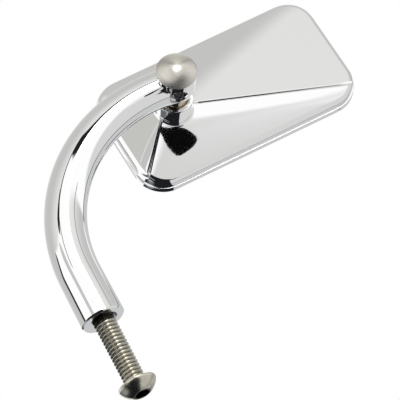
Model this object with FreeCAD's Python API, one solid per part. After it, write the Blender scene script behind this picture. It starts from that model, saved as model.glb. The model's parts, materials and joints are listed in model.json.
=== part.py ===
# Motorcycle mirror: a tapered, curved stem that bolts to a handlebar perch, a ball stud in the
# stem's eye, and a rectangular head with a four-sided pyramid back that turns on the ball.
# Frame: origin at the centre of the stem's foot face, +Z up the foot, the stem bends towards +X,
# the back of the head faces -Y and the glass faces +Y. All sizes are in millimetres.

import FreeCAD
import Part
import math
import os

Vec = FreeCAD.Vector

# Stem: round bar, straight at the foot, then a quarter bend, then straight to the eye
FOOT_DIA = 15.9
FOOT_CHAMFER = 0.5
FOOT_STRAIGHT = 18.3
BEND_RADIUS = 55.7
EYE_STRAIGHT = 7.3
NECK_DIA = 13.2
BEND_SECTIONS = 5
EYE_DIA = 14.4
EYE_BLEND = 0.4
EYE_COLLAR = 0.8
EYE_SEAT_SINK = 1.1
EYE_SEAT_DIA = 9.0

# Mounting screw: 5/16-18 UNC button head, one and a half inches long
SCREW_DIA = 7.94
SCREW_LENGTH = 38.1
SCREW_ENGAGED = 11.7
SCREW_POINT = 0.9
SCREW_HEAD_DIA = 13.9
SCREW_HEAD_HEIGHT = 4.2
SCREW_HEAD_EDGE = 0.5
SCREW_HEAD_FLAT_DIA = 6.6
SCREW_SOCKET = 4.76
SCREW_SOCKET_DEPTH = 2.6
TAP_EXTRA_DEPTH = 4.0
FOOT_MOUTH_DIA = 10.3
THREAD_CLEARANCE = 0.05

# Grub screw that locks the post in the eye: 1/4-20 UNC with a cup point
GRUB_DIA = 6.35
GRUB_LENGTH = 2.9
GRUB_SOCKET = 3.18
GRUB_SOCKET_DEPTH = 1.6
GRUB_POINT = 0.5
GRUB_MOUTH_DIA = 6.9
GRUB_ANGLE = 18.0
GRUB_OFFSET = 2.2
GRUB_TIP_GAP = 0.3

# Post: ball stud up through the eye, with a turned domed cap on its end
SHANK_DIA = 6.35
STUD_NECK_DIA = 7.5
BALL_DIA = 10.3
BALL_DROP = 12.2
DOME_DIA = 14.6
DOME_HEIGHT = 3.75
DOME_LAND = 0.3
DOME_HOLE_DEPTH = 2.4
RUNNING_CLEARANCE = 0.06
FACE_GAP = 0.05

# Ball seats, springs and plug inside the boss of the housing
SEAT_DIA = 11.6
SEAT_SPLIT = 0.6
SEAT_CUP_DEPTH = 4.1
SEAT_RELIEF_DIA = 4.6
SPRING_HOLE_DIA = 5.8
SPRING_THICKNESS = 0.5
SPRING_CONE = 0.45
PLUG_THICKNESS = 3.8
PLUG_SOCKET = 6.0
PLUG_SOCKET_DEPTH = 2.5

# Mirror head
HEAD_LENGTH = 88.9
HEAD_HEIGHT = 47.7
CORNER_RADIUS = 11.2
HEAD_OFFSET = 22.1
HEAD_SWIVEL = 3.9
APEX_DROP = 2.8
PYRAMID_HEIGHT = 10.3
RIGHT_RISE_LOW = 1.8
RIGHT_RISE_TOP = 0.3
LEFT_RISE_LOW = 1.6
LEFT_RISE_TOP = 0.3
CREST_LENGTH = 4.3
RIM_DEPTH = 4.7
RIM_BAND = 2.4
RIM_STEP = 0.55
BAND_ROUND = 0.4
SHOULDER_RADIUS = 1.1
SHELL_WALL = 1.9
BOSS_DIA = 13.7
BOSS_RISE = 2.8
BOSS_ROUND = 0.5
MOUTH_DIA = 10.3
LIP_THICKNESS = 1.0
TUBE_DIA = 15.9
RIM_WALL = 1.5
LEDGE_WIDTH = 2.4
GLASS_THICKNESS = 2.0
GLASS_RECESS = 0.4
GLASS_CLEARANCE = 0.25
GLASS_BEVEL = 0.4
PAD_THICKNESS = 0.8
PAD_INSET = 1.2

# Places that follow from the sizes above
EYE_X = BEND_RADIUS + EYE_STRAIGHT
EYE_Z = FOOT_STRAIGHT + BEND_RADIUS
EYE_RISE = EYE_DIA / 2 + EYE_COLLAR
EYE_SEAT = EYE_DIA / 2 - EYE_SEAT_SINK
BORE_RADIUS = SEAT_DIA / 2 + RUNNING_CLEARANCE
BOSS_TOP = BALL_DROP - BOSS_RISE
LIP_FLOOR = BOSS_TOP + LIP_THICKNESS
APEX_Y = BALL_DROP + APEX_DROP
RIM_BACK = APEX_Y + PYRAMID_HEIGHT
RIM_FRONT = RIM_BACK + RIM_DEPTH
CUP_FLOOR = BALL_DROP + SEAT_CUP_DEPTH
SPRING_TOP = CUP_FLOOR + FACE_GAP
SPRING_HEIGHT = SPRING_THICKNESS + SPRING_CONE
PLUG_TOP = SPRING_TOP + 2 * SPRING_HEIGHT
PLUG_FLOOR = PLUG_TOP + PLUG_THICKNESS
GLASS_FRONT = RIM_FRONT - GLASS_RECESS
GLASS_BACK = GLASS_FRONT - GLASS_THICKNESS
LEDGE = GLASS_BACK - PAD_THICKNESS


def post_cylinder(diameter, y0, y1):
    """Cylinder on the post axis, which is the local Y axis."""
    return Part.makeCylinder(diameter / 2, y1 - y0, Vec(0, y0, 0), Vec(0, 1, 0))


def turned(outline):
    """Solid turned about the local Y axis from edges drawn in the XY plane."""
    face = Part.Face(Part.Wire(outline))
    return face.revolve(Vec(0, 0, 0), Vec(0, 1, 0), 360)


def lines(points):
    """Straight edges that join the points in order."""
    return [Part.makeLine(a, b) for a, b in zip(points, points[1:])]


def ball(extra=0.0):
    """The ball of the post, grown by extra for its seats."""
    return Part.makeSphere(BALL_DIA / 2 + extra, Vec(0, BALL_DROP, 0))


def hexagon_prism(across_flats, depth):
    """Hexagonal prism from the local XY plane up +Z, for a key's socket."""
    corner = across_flats / math.sqrt(3)
    corners = []
    for side in range(7):
        angle = math.radians(60 * side)
        corners.append(Vec(corner * math.cos(angle), corner * math.sin(angle), 0))
    return Part.Face(Part.makePolygon(corners)).extrude(Vec(0, 0, depth))


def at_post(shape):
    """Move a piece from the post's own axes to the eye of the stem."""
    placed = shape.copy()
    placed.translate(Vec(EYE_X, 0, EYE_Z))
    return placed


def at_head(shape):
    """Swivel a piece of the head about the post, then move it to the eye."""
    placed = shape.copy()
    placed.rotate(Vec(0, 0, 0), Vec(0, 1, 0), -HEAD_SWIVEL)
    return at_post(placed)


def grub_axis():
    """Mouth point and inward direction of the grub screw, in the post's axes."""
    angle = math.radians(GRUB_ANGLE)
    outward = Vec(-math.sin(angle), 0, -math.cos(angle))
    return Vec(0, -GRUB_OFFSET, 0) + outward * (EYE_DIA / 2), outward * -1


def bend_section(turn, diameter):
    """Round section of the bar after the bend has turned by that many degrees from upright."""
    section = Part.Wire(Part.makeCircle(diameter / 2, Vec(0, 0, FOOT_STRAIGHT)))
    section.rotate(Vec(BEND_RADIUS, 0, FOOT_STRAIGHT), Vec(0, 1, 0), turn)
    return section


def stem_bar():
    """Evenly tapered bar from the foot round the bend, then swelling a little into the eye."""
    bend_length = BEND_RADIUS * math.pi / 2
    bend_start_dia = FOOT_DIA - (FOOT_DIA - NECK_DIA) * FOOT_STRAIGHT / (FOOT_STRAIGHT + bend_length)
    foot = Part.makeCone(FOOT_DIA / 2, bend_start_dia / 2, FOOT_STRAIGHT)
    sections = []
    for step in range(BEND_SECTIONS):
        share = step / (BEND_SECTIONS - 1)
        diameter = bend_start_dia + (NECK_DIA - bend_start_dia) * share
        sections.append(bend_section(90 * share, diameter))
    bend = Part.makeLoft(sections, True)
    bend_end = Vec(BEND_RADIUS, 0, EYE_Z)
    swell_dia = EYE_DIA - EYE_BLEND
    to_eye = Part.makeCone(NECK_DIA / 2, swell_dia / 2, EYE_STRAIGHT, bend_end, Vec(1, 0, 0))
    return foot.fuse([bend, to_eye])


def eye_body():
    """Upright barrel of the eye, flat where the dome seats and round at the other end."""
    radius = EYE_DIA / 2
    half = math.radians(45)
    low = Vec(radius * math.cos(half), radius * math.sin(half), 0)
    side = Vec(radius, 0, 0)
    bottom = Vec(0, radius, 0)
    outline = lines([bottom, Vec(0, -EYE_RISE, 0), Vec(radius, -EYE_RISE, 0), side])
    outline.append(Part.Arc(side, low, bottom).toShape())
    return turned(outline)


def make_stem():
    """Chromed stem with its foot, tapped hole, eye bore and grub screw hole."""
    stem = stem_bar().fuse(at_post(eye_body()))
    foot_ring = Part.makeCylinder(FOOT_DIA, FOOT_CHAMFER)
    foot_cone = Part.makeCone(FOOT_DIA / 2 - FOOT_CHAMFER, FOOT_DIA / 2, FOOT_CHAMFER)
    tap = Part.makeCylinder(SCREW_DIA / 2 + THREAD_CLEARANCE, SCREW_ENGAGED + TAP_EXTRA_DEPTH)
    mouth_depth = (FOOT_MOUTH_DIA - SCREW_DIA) / 2
    mouth = Part.makeCone(FOOT_MOUTH_DIA / 2, SCREW_DIA / 2, mouth_depth)
    bore = post_cylinder(SHANK_DIA + 2 * RUNNING_CLEARANCE, -EYE_RISE, EYE_DIA)
    seat = post_cylinder(EYE_SEAT_DIA, EYE_SEAT, EYE_DIA)
    grub_mouth, inward = grub_axis()
    grub_hole = Part.makeCylinder(GRUB_DIA / 2 + THREAD_CLEARANCE, EYE_DIA / 2, grub_mouth, inward)
    grub_sink_depth = (GRUB_MOUTH_DIA - GRUB_DIA) / 2
    grub_rim = EYE_DIA / 2 - math.sqrt((EYE_DIA / 2) ** 2 - (GRUB_MOUTH_DIA / 2) ** 2)
    grub_sink = Part.makeCylinder(GRUB_MOUTH_DIA / 2, grub_rim + grub_sink_depth, grub_mouth, inward)
    cuts = [foot_ring.cut(foot_cone), tap, mouth]
    cuts += [at_post(cut) for cut in (bore, seat, grub_hole, grub_sink)]
    return stem.cut(cuts).removeSplitter()


def make_mounting_screw():
    """Button-head screw in the foot, with its head below the perch's thickness."""
    under_head = SCREW_ENGAGED - SCREW_LENGTH
    plain = SCREW_LENGTH - SCREW_POINT
    shank = Part.makeCylinder(SCREW_DIA / 2, plain, Vec(0, 0, under_head))
    point_start = Vec(0, 0, SCREW_ENGAGED - SCREW_POINT)
    point = Part.makeCone(SCREW_DIA / 2, SCREW_DIA / 2 - SCREW_POINT, SCREW_POINT, point_start)
    edge = SCREW_HEAD_DIA / 2
    flat = SCREW_HEAD_FLAT_DIA / 2
    spread = edge ** 2 + SCREW_HEAD_EDGE ** 2 - flat ** 2 - SCREW_HEAD_HEIGHT ** 2
    crown_centre = spread / (2 * (SCREW_HEAD_EDGE - SCREW_HEAD_HEIGHT))
    crown_radius = math.hypot(edge, SCREW_HEAD_EDGE - crown_centre)
    crown = Part.makeSphere(crown_radius, Vec(0, 0, under_head - crown_centre))
    blank = Part.makeCylinder(edge, SCREW_HEAD_HEIGHT, Vec(0, 0, under_head), Vec(0, 0, -1))
    socket = hexagon_prism(SCREW_SOCKET, SCREW_SOCKET_DEPTH)
    socket.translate(Vec(0, 0, under_head - SCREW_HEAD_HEIGHT))
    return shank.fuse([point, blank.common(crown)]).cut(socket).removeSplitter()


def make_grub_screw():
    """Socket set screw below the eye's surface, its cup point close to the post's shank."""
    mouth, inward = grub_axis()
    tip = EYE_DIA / 2 - SHANK_DIA / 2 - GRUB_TIP_GAP
    plain = GRUB_LENGTH - GRUB_POINT
    body = Part.makeCylinder(GRUB_DIA / 2, plain)
    point = Part.makeCone(GRUB_DIA / 2, GRUB_DIA / 2 - GRUB_POINT, GRUB_POINT, Vec(0, 0, plain))
    screw = body.fuse(point).cut(hexagon_prism(GRUB_SOCKET, GRUB_SOCKET_DEPTH)).removeSplitter()
    turn = FreeCAD.Rotation(Vec(0, 0, 1), inward)
    start = mouth + inward * (tip - GRUB_LENGTH)
    screw.Placement = FreeCAD.Placement(start, turn)
    return at_post(screw)


def make_dome_cap():
    """Turned domed cap on the eye, with a blind hole for the stud's end."""
    base = -EYE_RISE - FACE_GAP
    crown_base = base - DOME_LAND
    radius = ((DOME_DIA / 2) ** 2 + DOME_HEIGHT ** 2) / (2 * DOME_HEIGHT)
    crown = Part.makeSphere(radius, Vec(0, crown_base - DOME_HEIGHT + radius, 0))
    blank = post_cylinder(DOME_DIA, crown_base - DOME_HEIGHT, crown_base).common(crown)
    land = post_cylinder(DOME_DIA, crown_base, base)
    hole = post_cylinder(SHANK_DIA + 2 * THREAD_CLEARANCE, base - DOME_HOLE_DEPTH, base)
    return at_post(blank.fuse(land).cut(hole).removeSplitter())


def make_ball_stud():
    """Ball with a thick neck below the eye and a shank through it into the cap."""
    neck_top = EYE_SEAT + FACE_GAP
    shank_end = -EYE_RISE - FACE_GAP - DOME_HOLE_DEPTH
    neck = post_cylinder(STUD_NECK_DIA, neck_top, BALL_DROP)
    shank = post_cylinder(SHANK_DIA, shank_end, neck_top)
    return at_post(ball().fuse([neck, shank]).removeSplitter())


def make_ball_seat_ring():
    """Plastic ring between the lip of the boss and the upper half of the ball."""
    ring = post_cylinder(SEAT_DIA, LIP_FLOOR + FACE_GAP, BALL_DROP - SEAT_SPLIT / 2)
    return at_head(ring.cut(ball(RUNNING_CLEARANCE)))


def make_ball_seat_cup():
    """Plastic cup that the springs press against the lower half of the ball."""
    cup = post_cylinder(SEAT_DIA, BALL_DROP + SEAT_SPLIT / 2, CUP_FLOOR)
    relief = post_cylinder(SEAT_RELIEF_DIA, BALL_DROP, CUP_FLOOR)
    return at_head(cup.cut([ball(RUNNING_CLEARANCE), relief]))


def disc_spring(top, cone):
    """Conical washer from its upper face; cone is how far its hole lies below its outer edge."""
    outer = BORE_RADIUS - 2 * RUNNING_CLEARANCE
    inner = SPRING_HOLE_DIA / 2
    outer_top = top + max(0.0, -cone)
    inner_top = top + max(0.0, cone)
    corners = [
        Vec(outer, outer_top, 0),
        Vec(inner, inner_top, 0),
        Vec(inner, inner_top + SPRING_THICKNESS, 0),
        Vec(outer, outer_top + SPRING_THICKNESS, 0),
        Vec(outer, outer_top, 0),
    ]
    return turned(lines(corners))


def make_disc_springs():
    """Two disc springs, back to back, that keep the ball under load."""
    upper = disc_spring(SPRING_TOP, SPRING_CONE)
    lower = disc_spring(SPRING_TOP + SPRING_HEIGHT, -SPRING_CONE)
    return at_head(Part.makeCompound([upper, lower]))


def make_retaining_plug():
    """Screw plug that closes the boss behind the springs, with a key socket."""
    plug = post_cylinder(2 * (BORE_RADIUS - THREAD_CLEARANCE), PLUG_TOP, PLUG_FLOOR)
    socket = hexagon_prism(PLUG_SOCKET, PLUG_SOCKET_DEPTH)
    socket.rotate(Vec(0, 0, 0), Vec(1, 0, 0), 90)
    socket.translate(Vec(0, PLUG_FLOOR, 0))
    return at_head(plug.cut(socket))


def is_upright(edge):
    """True for an edge that runs nearer to the post's direction than across it."""
    start_tangent = edge.tangentAt(edge.FirstParameter)
    return abs(start_tangent.y) > math.cos(math.radians(45))


def rounded_prism(inset, y0, y1):
    """Rounded rectangle of the head's outline, set in by inset, between two depths."""
    length = HEAD_LENGTH - 2 * inset
    height = HEAD_HEIGHT - 2 * inset
    corner = Vec(HEAD_OFFSET - length / 2, y0, -height / 2)
    block = Part.makeBox(length, y1 - y0, height, corner)
    upright = [edge for edge in block.Edges if is_upright(edge)]
    return block.makeFillet(CORNER_RADIUS - inset, upright)


def facet(points):
    """Flat face with these corners."""
    return Part.Face(Part.makePolygon(points + points[:1]))


def pyramid(inset, apex_y, base_y):
    """Four facets on the head's outline, with a short crest that starts on the post axis.

    The two end facets stop above the rim, on low upright ends.
    """
    half_length = HEAD_LENGTH / 2 - inset
    half_height = HEAD_HEIGHT / 2 - inset
    left = HEAD_OFFSET - half_length
    right = HEAD_OFFSET + half_length
    slope = half_height / (base_y - apex_y)
    crest = [Vec(0, apex_y, 0), Vec(-CREST_LENGTH, apex_y, 0)]
    right_top = Vec(right, base_y - RIGHT_RISE_TOP, half_height - slope * RIGHT_RISE_TOP)
    right_low = Vec(right, base_y - RIGHT_RISE_LOW, slope * RIGHT_RISE_LOW - half_height)
    left_top = Vec(left, base_y - LEFT_RISE_TOP, half_height - slope * LEFT_RISE_TOP)
    left_low = Vec(left, base_y - LEFT_RISE_LOW, slope * LEFT_RISE_LOW - half_height)
    base = [
        Vec(left, base_y, -half_height),
        Vec(right, base_y, -half_height),
        Vec(right, base_y, half_height),
        Vec(left, base_y, half_height),
    ]
    faces = [
        facet(base),
        facet([base[0], base[1], right_low, crest[0], crest[1], left_low]),
        facet([base[2], base[3], left_top, crest[1], crest[0], right_top]),
        facet([right_low, right_top, crest[0]]),
        facet([left_top, left_low, crest[1]]),
        facet([base[1], base[2], right_top, right_low]),
        facet([base[3], base[0], left_low, left_top]),
    ]
    return Part.Solid(Part.Shell(faces))


def pyramid_back(inset, apex_y, base_y, front_y):
    """Pyramid on a rim with rounded corners, as a solid block."""
    outline = rounded_prism(inset, apex_y, front_y)
    half_length = HEAD_LENGTH / 2 - inset
    half_height = HEAD_HEIGHT / 2 - inset
    corner = Vec(HEAD_OFFSET - half_length, base_y, -half_height)
    slab = Part.makeBox(2 * half_length, front_y - base_y, 2 * half_height, corner)
    return pyramid(inset, apex_y, base_y).fuse(slab).common(outline).removeSplitter()


def shoulder_edges(block):
    """Edges where the sloping facets meet the upright side of the rim."""
    found = []
    for edge in block.Edges:
        middle = edge.CenterOfMass
        to_end = HEAD_LENGTH / 2 - abs(middle.x - HEAD_OFFSET)
        to_side = HEAD_HEIGHT / 2 - abs(middle.z)
        at_outline = min(to_end, to_side) < CORNER_RADIUS / 2
        if at_outline and not is_upright(edge) and middle.y < RIM_BACK + BAND_ROUND:
            found.append(edge)
    return found


def outer_shell():
    """Outside of the housing: pyramid back, round shoulder, rim band and boss."""
    back = pyramid_back(RIM_STEP, APEX_Y, RIM_BACK, RIM_FRONT)
    boss = post_cylinder(BOSS_DIA, BOSS_TOP, RIM_BACK)
    boss_edge = [edge for edge in boss.Edges if abs(edge.CenterOfMass.y - BOSS_TOP) < BOSS_ROUND]
    boss = boss.makeFillet(BOSS_ROUND, boss_edge)
    back = back.makeFillet(SHOULDER_RADIUS, shoulder_edges(back))
    band = rounded_prism(0.0, RIM_FRONT - RIM_BAND, RIM_FRONT)
    band_rims = [edge for edge in band.Edges if not is_upright(edge)]
    band = band.makeFillet(BAND_ROUND, band_rims)
    return back.fuse([boss, band])


def make_mirror_housing():
    """Cast shell with the ball's boss at its apex and a ledge for the glass."""
    cavity_inset = RIM_WALL + LEDGE_WIDTH
    cavity = pyramid_back(cavity_inset, APEX_Y + SHELL_WALL, RIM_BACK + SHELL_WALL, RIM_FRONT)
    tube = post_cylinder(TUBE_DIA, APEX_Y, PLUG_FLOOR)
    bore = post_cylinder(2 * BORE_RADIUS, LIP_FLOOR, RIM_FRONT)
    mouth = post_cylinder(MOUTH_DIA, BOSS_TOP, LIP_FLOOR)
    recess = rounded_prism(RIM_WALL, LEDGE, RIM_FRONT)
    shell = outer_shell().cut([cavity.cut(tube), bore, mouth, recess])
    return at_head(shell.removeSplitter())


def make_glass_pad():
    """Foam mounting pad between the ledge and the glass."""
    return at_head(rounded_prism(RIM_WALL + PAD_INSET, LEDGE, GLASS_BACK))


def make_mirror_glass():
    """Flat silvered glass in the recess of the rim, bevelled round its front edge."""
    glass = rounded_prism(RIM_WALL + GLASS_CLEARANCE, GLASS_BACK, GLASS_FRONT)
    front = [edge for edge in glass.Edges if edge.BoundBox.YMin > GLASS_FRONT - GLASS_BEVEL]
    return at_head(glass.makeChamfer(GLASS_BEVEL, front))


PIECES = {
    "stem": make_stem,
    "mounting_screw": make_mounting_screw,
    "grub_screw": make_grub_screw,
    "dome_cap": make_dome_cap,
    "ball_stud": make_ball_stud,
    "ball_seat_ring": make_ball_seat_ring,
    "ball_seat_cup": make_ball_seat_cup,
    "disc_springs": make_disc_springs,
    "retaining_plug": make_retaining_plug,
    "mirror_housing": make_mirror_housing,
    "glass_pad": make_glass_pad,
    "mirror_glass": make_mirror_glass,
}

os.makedirs("parts", exist_ok=True)
for node, make in PIECES.items():
    make().exportStep("parts/" + node + ".step")
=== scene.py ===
# %% [markdown]
# # A motorcycle mirror, dressed for the camera
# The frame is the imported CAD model: every solid sits at its real place and size, in metres.
# This lesson rebuilds the surfaces that show with clean meshes that polish well, gives every
# piece a finish, and lights them as a small product studio would.

# %% Load the frame
import json
import math

import bmesh
import bpy
from mathutils import Matrix, Vector


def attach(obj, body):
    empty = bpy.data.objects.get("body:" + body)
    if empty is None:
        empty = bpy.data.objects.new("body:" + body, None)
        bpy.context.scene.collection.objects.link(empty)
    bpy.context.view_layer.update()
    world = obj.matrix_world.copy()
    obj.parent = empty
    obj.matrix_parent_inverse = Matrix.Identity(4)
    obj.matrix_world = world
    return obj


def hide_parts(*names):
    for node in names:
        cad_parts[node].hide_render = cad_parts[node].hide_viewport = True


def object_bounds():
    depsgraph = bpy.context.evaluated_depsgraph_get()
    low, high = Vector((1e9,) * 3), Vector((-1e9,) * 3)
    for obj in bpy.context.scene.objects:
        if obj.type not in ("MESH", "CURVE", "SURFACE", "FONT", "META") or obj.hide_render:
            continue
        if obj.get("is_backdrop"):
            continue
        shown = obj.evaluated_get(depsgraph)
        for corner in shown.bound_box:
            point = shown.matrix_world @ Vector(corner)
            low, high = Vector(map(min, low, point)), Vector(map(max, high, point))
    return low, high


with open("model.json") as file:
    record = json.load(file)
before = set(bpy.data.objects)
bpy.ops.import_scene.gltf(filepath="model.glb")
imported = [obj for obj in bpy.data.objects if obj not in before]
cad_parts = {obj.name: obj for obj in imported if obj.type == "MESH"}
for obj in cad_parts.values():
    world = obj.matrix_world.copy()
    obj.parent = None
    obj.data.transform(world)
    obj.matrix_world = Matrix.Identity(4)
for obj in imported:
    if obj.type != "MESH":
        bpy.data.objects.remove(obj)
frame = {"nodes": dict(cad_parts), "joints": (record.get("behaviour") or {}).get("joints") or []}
cad_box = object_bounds()
MM = 0.001
nodes = frame["nodes"]
joint_places = {joint["name"]: Vector(joint["pos_m"]) for joint in frame["joints"]}
print("CAD nodes:", ", ".join(sorted(nodes)))

# %% [markdown]
# ## Where things are
# The post is the short upright axis that the head turns on. Its place comes from the joints of
# the frame, so the meshes below follow the CAD model and nothing is fitted by eye. The head is
# swivelled a few degrees about the post, as it is in the photograph.

# %% Places from the frame
eye = joint_places["post_swivel"]
ball_drop = joint_places["head_spin"].y - eye.y
HEAD_SWIVEL = math.radians(-3.9)
to_eye = Matrix.Translation(eye)
to_head = to_eye @ Matrix.Rotation(HEAD_SWIVEL, 4, "Y")
print("eye of the stem at", [round(v / MM, 2) for v in eye], "mm, ball", round(ball_drop / MM, 2), "mm lower")

# %% [markdown]
# ## Camera
# The photograph looks up at the mirror from below the foot, through a long lens, so lines that
# are parallel stay nearly parallel. The camera's three axes were fitted to the outline of the
# head and the stem, and they are written as one rotation matrix: right, up and back.

# %% Camera
CAMERA_PLACE = Vector((-0.2922, -1.22224, -0.54061))
CAMERA_RIGHT = Vector((0.8983, -0.0484, -0.4368)).normalized()
CAMERA_BACK = Vector((-0.2463, -0.8787, -0.4090)).normalized()
CAMERA_UP = CAMERA_BACK.cross(CAMERA_RIGHT)
LENS_MM = 361.0
SENSOR_MM = 36.0

camera_data = bpy.data.cameras.new("camera")
camera_data.lens = LENS_MM
camera_data.sensor_width = SENSOR_MM
camera = bpy.data.objects.new("camera", camera_data)
turn = Matrix((CAMERA_RIGHT, CAMERA_UP, CAMERA_BACK)).transposed().to_4x4()
camera.matrix_world = Matrix.Translation(CAMERA_PLACE) @ turn
bpy.context.scene.collection.objects.link(camera)
bpy.context.scene.camera = camera
print("camera axes are square to", round(abs(CAMERA_RIGHT.dot(CAMERA_BACK)), 5))

# %% [markdown]
# ## Helpers that finish a piece
# Every mesh ends the same way: doubles are merged, the faces are turned outwards, edges that
# fold by more than a set angle stay sharp and the rest are shaded smooth. Then the piece rides
# on the body that carries it, gets its material and stands in for its CAD solid.

# %% Finish a piece
MERGE = 0.0004 * MM


def clean(bm):
    """Merges doubles and turns the faces outwards."""
    bmesh.ops.remove_doubles(bm, verts=bm.verts, dist=MERGE)
    bmesh.ops.recalc_face_normals(bm, faces=bm.faces)


def to_object(bm, name):
    """Puts a bmesh into the scene as an object."""
    mesh = bpy.data.meshes.new(name)
    bm.to_mesh(mesh)
    bm.free()
    made = bpy.data.objects.new(name, mesh)
    bpy.context.scene.collection.objects.link(made)
    return made


def loose_object(bm, name):
    """A plain object from a bmesh, for a boolean or for the stage."""
    clean(bm)
    return to_object(bm, name)


def finish_piece(bm, name, body, node, material, sharp_degrees=28.0):
    """Turns a bmesh into an object in place, riding on its body and standing for its CAD node."""
    clean(bm)
    limit = math.radians(sharp_degrees)
    for edge in bm.edges:
        edge.smooth = len(edge.link_faces) == 2 and edge.calc_face_angle(0.0) < limit
    for face in bm.faces:
        face.smooth = True
    open_edges = sum(1 for edge in bm.edges if len(edge.link_faces) != 2)
    piece = to_object(bm, name)
    piece.data.materials.append(material)
    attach(piece, body)
    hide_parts(node)
    print(name, "has", len(piece.data.polygons), "faces and", open_edges, "open edges")
    return piece


# %% [markdown]
# ## Nodes without clutter
# A finish is a small graph of shader nodes. These helpers add a node and feed its inputs, by a
# link or by a plain value, so that each finish below reads as a list of what it does.

# %% Node helpers


def feed(tree, node, values):
    """Feeds a node's inputs, by name or number: a socket is linked, a number or a tint is set."""
    for key, value in values.items():
        socket = node.inputs[key]
        if isinstance(value, bpy.types.NodeSocket):
            tree.links.new(value, socket)
        elif socket.type == "RGBA":
            socket.default_value = (*value, 1.0)
        else:
            socket.default_value = value


def add_node(tree, kind, values=None, **settings):
    """Adds a node, sets its properties, then feeds its inputs."""
    node = tree.nodes.new(kind)
    for key, value in settings.items():
        setattr(node, key, value)
    feed(tree, node, values or {})
    return node


def math_node(tree, operation, *values):
    """A Math node on sockets or plain numbers; returns its output socket."""
    return add_node(tree, "ShaderNodeMath", dict(enumerate(values)), operation=operation).outputs["Value"]


def vector_node(tree, operation, *values):
    """A Vector Math node on sockets or plain vectors; returns the node."""
    return add_node(tree, "ShaderNodeVectorMath", dict(enumerate(values)), operation=operation)


def ramp_value(tree, value, low, high):
    """Maps a value from 0..1 to low..high."""
    inputs = {"Value": value, "To Min": low, "To Max": high}
    return add_node(tree, "ShaderNodeMapRange", inputs).outputs["Result"]


def smooth_rise(tree, value, low, high):
    """Smooth 0 to 1 as a value goes from low to high."""
    inputs = {"Value": value, "From Min": low, "From Max": high}
    return add_node(tree, "ShaderNodeMapRange", inputs, interpolation_type="SMOOTHSTEP").outputs["Result"]


def mix_colours(tree, factor, under, over, blend="MIX"):
    """Lays one colour over another by a factor; returns the mixed colour."""
    inputs = {"Factor": factor, "A": under, "B": over}
    return add_node(tree, "ShaderNodeMix", inputs, data_type="RGBA", blend_type=blend).outputs["Result"]


def colour_ramp(tree, value, stops, interpolation="LINEAR"):
    """A ColorRamp node with (position, tint) stops; returns its colour."""
    node = add_node(tree, "ShaderNodeValToRGB", {"Fac": value})
    node.color_ramp.interpolation = interpolation
    elements = node.color_ramp.elements
    for index, (position, tint) in enumerate(stops):
        element = elements[index] if index < 2 else elements.new(position)
        element.position = position
        element.color = (*tint, 1.0)
    return node.outputs["Color"]


# %% Material helpers


def object_place(tree):
    """Object coordinates, which stay with a piece when it moves."""
    return add_node(tree, "ShaderNodeTexCoord").outputs["Object"]


def object_noise(tree, scale, detail, stretch=(1.0, 1.0, 1.0)):
    """Noise on Object coordinates, stretched by a Mapping node; returns its value."""
    mapping = add_node(tree, "ShaderNodeMapping", {"Vector": object_place(tree), "Scale": stretch})
    inputs = {"Vector": mapping.outputs["Vector"], "Scale": scale, "Detail": detail}
    return add_node(tree, "ShaderNodeTexNoise", inputs).outputs["Fac"]


def set_shader(material, values):
    """Feeds the inputs of a material's Principled shader."""
    feed(material.node_tree, material.node_tree.nodes["Principled BSDF"], values)


def new_material(name, values):
    """A node material with values for its shader."""
    material = bpy.data.materials.new(name)
    material.use_nodes = True
    set_shader(material, values)
    return material


def grained(name, values, roughness, scale, detail=2.0, stretch=(1.0, 1.0, 1.0), bump=None):
    """A material whose roughness follows a noise, and its relief too if bump is given."""
    material = new_material(name, values)
    tree = material.node_tree
    grain = object_noise(tree, scale, detail, stretch)
    set_shader(material, {"Roughness": ramp_value(tree, grain, *roughness)})
    if bump:
        relief = {"Strength": bump[0], "Distance": bump[1], "Height": grain}
        set_shader(material, {"Normal": add_node(tree, "ShaderNodeBump", relief).outputs["Normal"]})
    return material


# %% [markdown]
# ## Chrome plate
# Decorative chrome is nickel under a very thin hard layer of chromium. It shows almost nothing
# but its surroundings, so the finish is a bright metal whose roughness changes a little with
# the last polishing strokes. A flat grey would look like plastic.

# %% Chrome plate


def chrome_plate(name, tint, stretch):
    """Mirror-bright plate with faint polishing strokes in its roughness."""
    metal = {"Metallic": 1.0, "Base Color": tint}
    return grained(name, metal, (0.008, 0.03), scale=900.0, detail=3.0, stretch=stretch)


stem_chrome = chrome_plate("stem_chrome", (0.985, 0.987, 0.99), (1.0, 1.0, 0.15))
housing_chrome = chrome_plate("housing_chrome", (0.985, 0.985, 0.985), (0.08, 1.0, 1.0))

# %% [markdown]
# ## Rings that are pulled along
# The stem, the housing and the screw heads are all made in one way: a circle of vertices is
# extruded again and again, and each new ring is moved to its place. Every vertex carries the
# number of its ray, which the extrusion copies, so a ring always knows which vertex is which.

# %% Ring helpers


def first_ring(count):
    """A bmesh with one circle of numbered vertices; returns the bmesh, its ring and the layer."""
    bm = bmesh.new()
    layer = bm.verts.layers.int.new("ray")
    made = bmesh.ops.create_circle(bm, segments=count, radius=1.0)
    order = sorted(made["verts"], key=lambda vert: math.atan2(vert.co.y, vert.co.x) % math.tau)
    for index, vert in enumerate(order):
        vert[layer] = index
    return bm, list(bm.edges), layer


def place_ring(ring, layer, place):
    """Moves the vertices of a ring to where place says for each ray."""
    for vert in {vert for edge in ring for vert in edge.verts}:
        vert.co = place(vert[layer])


def next_ring(bm, ring, layer, place):
    """Extrudes a ring and moves the new one; returns the new ring's edges."""
    made = bmesh.ops.extrude_edge_only(bm, edges=ring)["geom"]
    verts = {item for item in made if isinstance(item, bmesh.types.BMVert)}
    new_ring = [
        item for item in made if isinstance(item, bmesh.types.BMEdge) and set(item.verts) <= verts
    ]
    place_ring(new_ring, layer, place)
    return new_ring


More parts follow.
